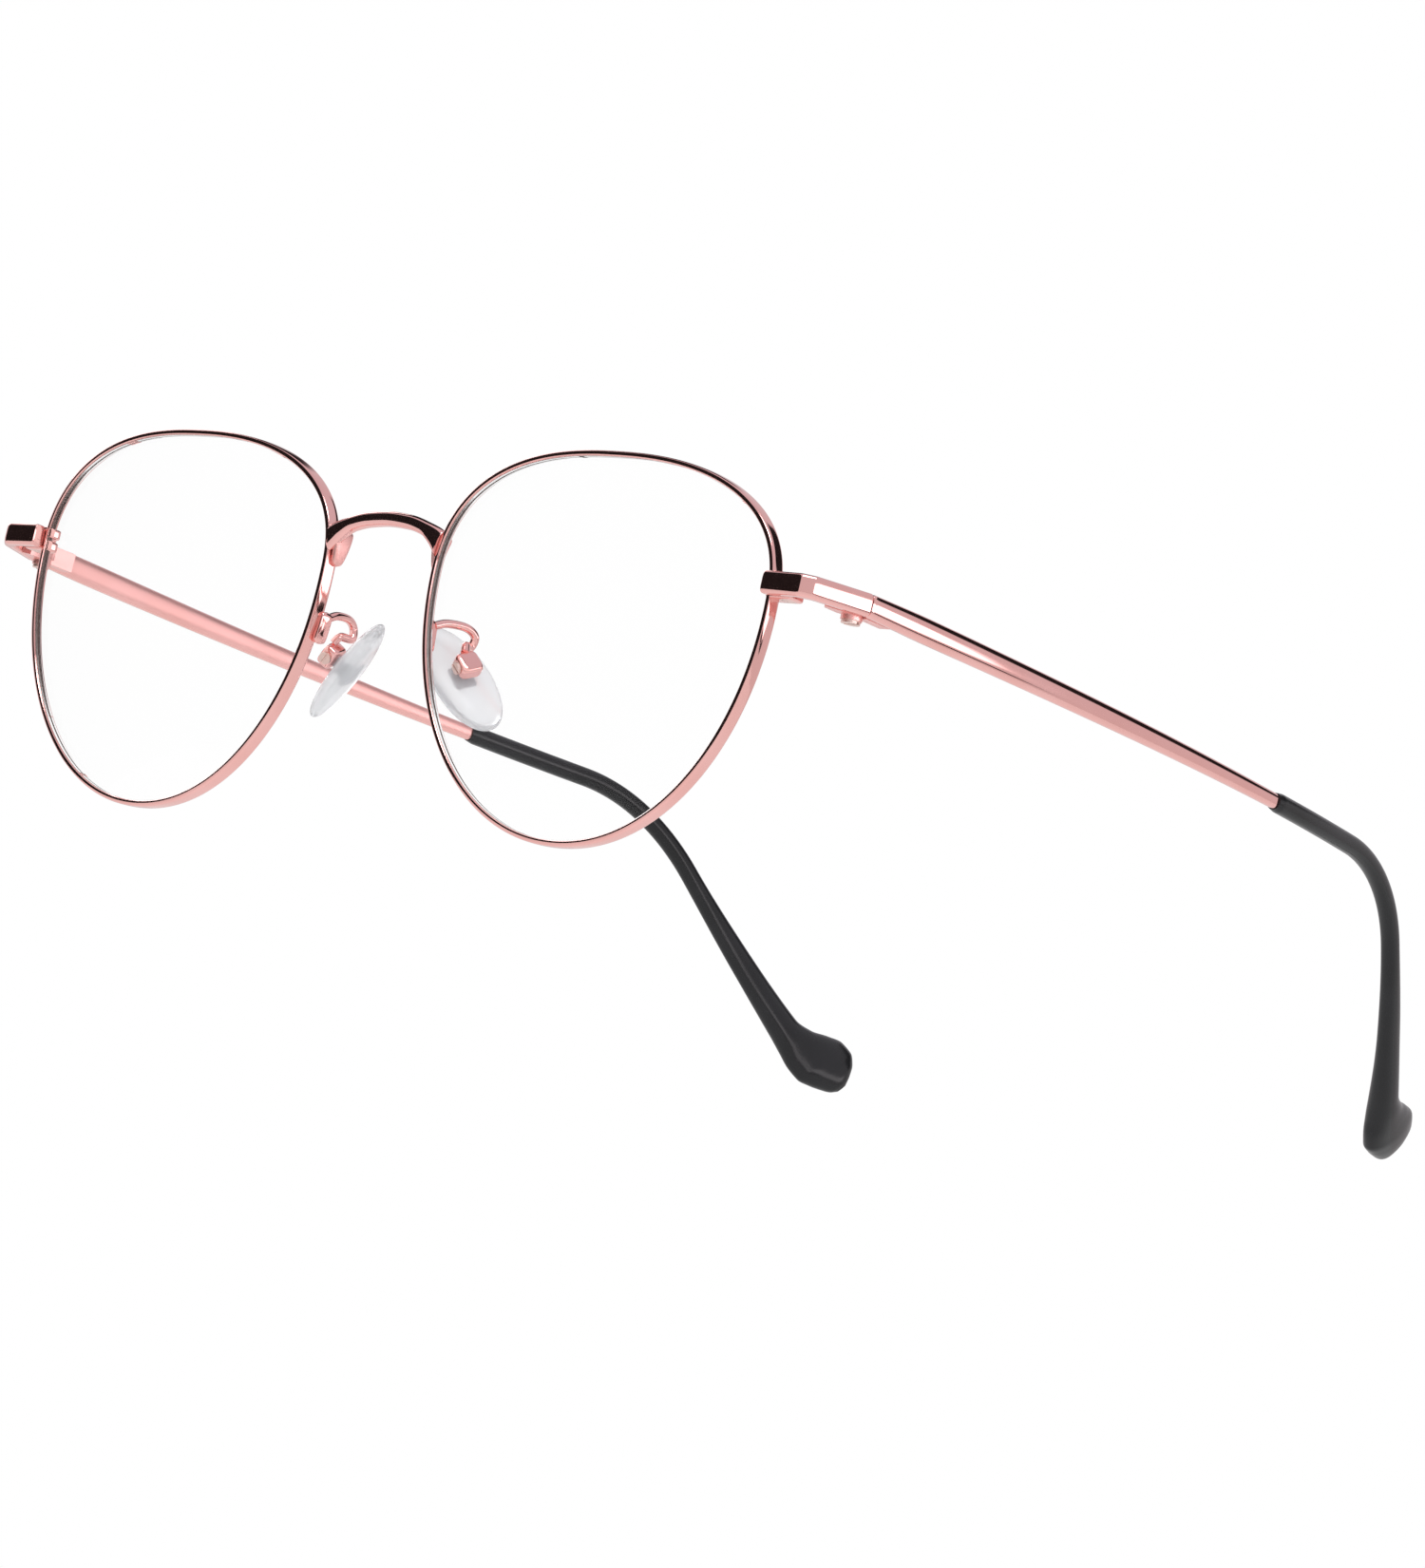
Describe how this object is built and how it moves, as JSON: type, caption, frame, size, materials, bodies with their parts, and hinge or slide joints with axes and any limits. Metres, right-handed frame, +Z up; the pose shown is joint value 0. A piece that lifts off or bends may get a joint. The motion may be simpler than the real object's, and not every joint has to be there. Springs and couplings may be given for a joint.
{
  "type": "eyeglasses",
  "caption": "Thin wire eyeglasses with rounded rims, an arched bridge, rocking silicone nose pads, and folding temples with bent soft tips that hook over the ears.",
  "frame": {"origin": "bottom centre of the bounding box: midway between the two halves, on the surface the glasses stand on, at the middle of the overall length", "axes": "+X towards the wearer's left, +Y backwards along the open temples, +Z up; the rims and tips stand on Z = 0"},
  "size_m": [0.1384, 0.1536, 0.0466],
  "materials": {
    "plated_frame": "polished rose-gold plating over a copper-nickel alloy",
    "screw_metal": "plated steel, slightly brushed",
    "clear_lens": "clear, uncoloured, polished",
    "black_sleeve": "black plastic with a soft sheen",
    "clear_silicone": "translucent soft silicone",
    "pad_core_plastic": "moulded-in pale plastic"
  },
  "bodies": {
    "front": {"bridge": "plated_frame", "rim_left": "plated_frame", "lens_left": "clear_lens", "end_piece_left": "plated_frame", "closing_block_upper_left": "plated_frame", "closing_block_lower_left": "plated_frame", "closing_screw_left": "screw_metal", "hinge_front_leaf_left": "plated_frame", "hinge_screw_left": "screw_metal", "pad_arm_left": "plated_frame", "pad_box_left": "plated_frame", "pad_screw_left": "screw_metal", "rim_right": "plated_frame", "lens_right": "clear_lens", "end_piece_right": "plated_frame", "closing_block_upper_right": "plated_frame", "closing_block_lower_right": "plated_frame", "closing_screw_right": "screw_metal", "hinge_front_leaf_right": "plated_frame", "hinge_screw_right": "screw_metal", "pad_arm_right": "plated_frame", "pad_box_right": "plated_frame", "pad_screw_right": "screw_metal"},
    "temple_left": {"temple_left": "plated_frame", "temple_tip_left": "black_sleeve", "hinge_temple_leaf_left": "plated_frame"},
    "pad_left": {"nose_pad_left": "clear_silicone", "pad_core_left": "pad_core_plastic"},
    "temple_right": {"temple_right": "plated_frame", "temple_tip_right": "black_sleeve", "hinge_temple_leaf_right": "plated_frame"},
    "pad_right": {"nose_pad_right": "clear_silicone", "pad_core_right": "pad_core_plastic"}
  },
  "joints": [
    {"name": "temple_left_fold", "type": "hinge", "parent": "front", "child": "temple_left", "pos_m": [0.0657, -0.06661, 0.0326], "axis": [0, 0, 1], "range_deg": [0, 85.5]},
    {"name": "temple_right_fold", "type": "hinge", "parent": "front", "child": "temple_right", "pos_m": [-0.0657, -0.06661, 0.0326], "axis": [0, 0, -1], "range_deg": [0, 79]},
    {"name": "pad_left_rock", "type": "hinge", "parent": "front", "child": "pad_left", "pos_m": [0.01123, -0.06839, 0.02216], "axis": [0.257, 0.8512, 0.4575], "range_deg": [-8, 8]},
    {"name": "pad_right_rock", "type": "hinge", "parent": "front", "child": "pad_right", "pos_m": [-0.01123, -0.06839, 0.02216], "axis": [-0.257, 0.8512, 0.4575], "range_deg": [-8, 8]}
  ]
}
